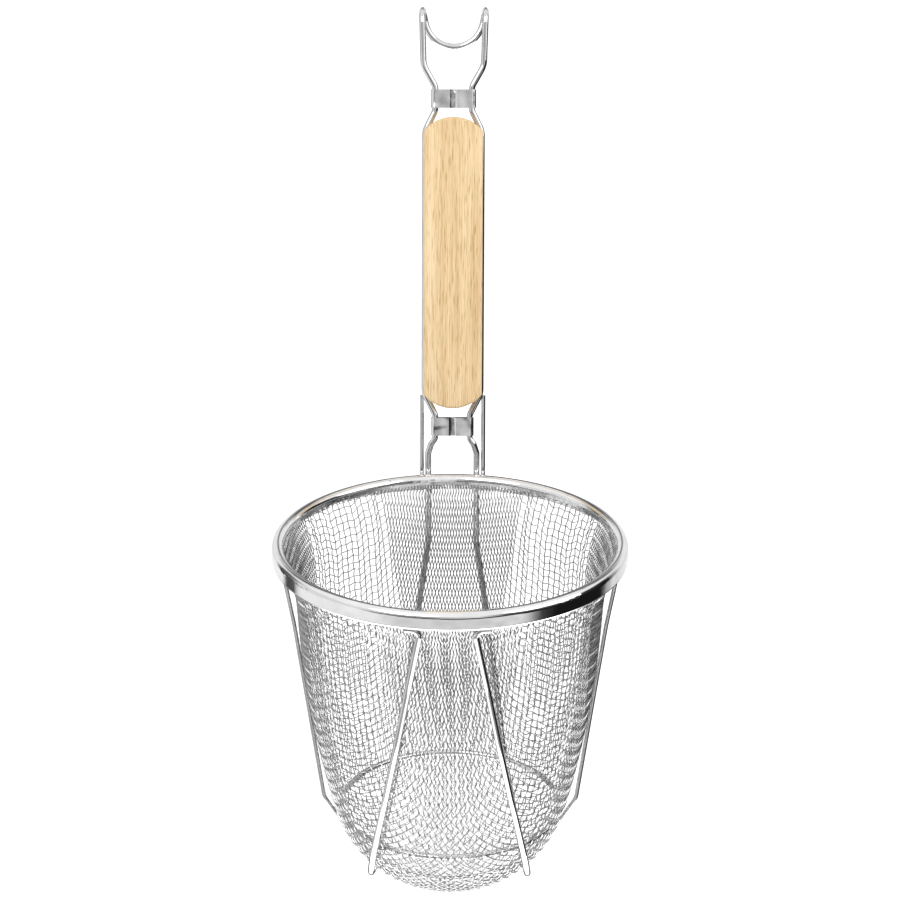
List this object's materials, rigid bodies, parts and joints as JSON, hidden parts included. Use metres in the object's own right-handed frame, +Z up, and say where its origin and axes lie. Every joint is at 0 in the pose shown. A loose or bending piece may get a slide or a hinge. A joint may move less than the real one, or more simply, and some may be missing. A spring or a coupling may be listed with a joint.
{
  "type": "wire basket strainer",
  "caption": "Deep round-bottomed strainer of woven wire cloth with a rolled rim, wire cage, upright wooden grip and a hanging hook.",
  "frame": {"origin": "centre of the basket's mouth, level with the top of the rim", "axes": "+Z up along the basket's axis, the handle at +Y, +X to the right seen from the front"},
  "size_m": [0.15, 0.2107, 0.3611],
  "materials": {
    "mesh_steel": "bright drawn wire",
    "rim_steel": "polished",
    "wire_steel": "polished",
    "grip_wood": "smooth, unvarnished"
  },
  "bodies": {
    "root": {"basket_mesh": "mesh_steel", "rim_band": "rim_steel", "rim_core_ring": "wire_steel", "bottom_ring": "wire_steel", "frame_wire": "wire_steel", "side_support_wire": "wire_steel", "brace_wire_left": "wire_steel", "brace_wire_right": "wire_steel", "lower_clamp": "rim_steel", "upper_clamp": "rim_steel", "wood_grip": "grip_wood"}
  },
  "joints": []
}
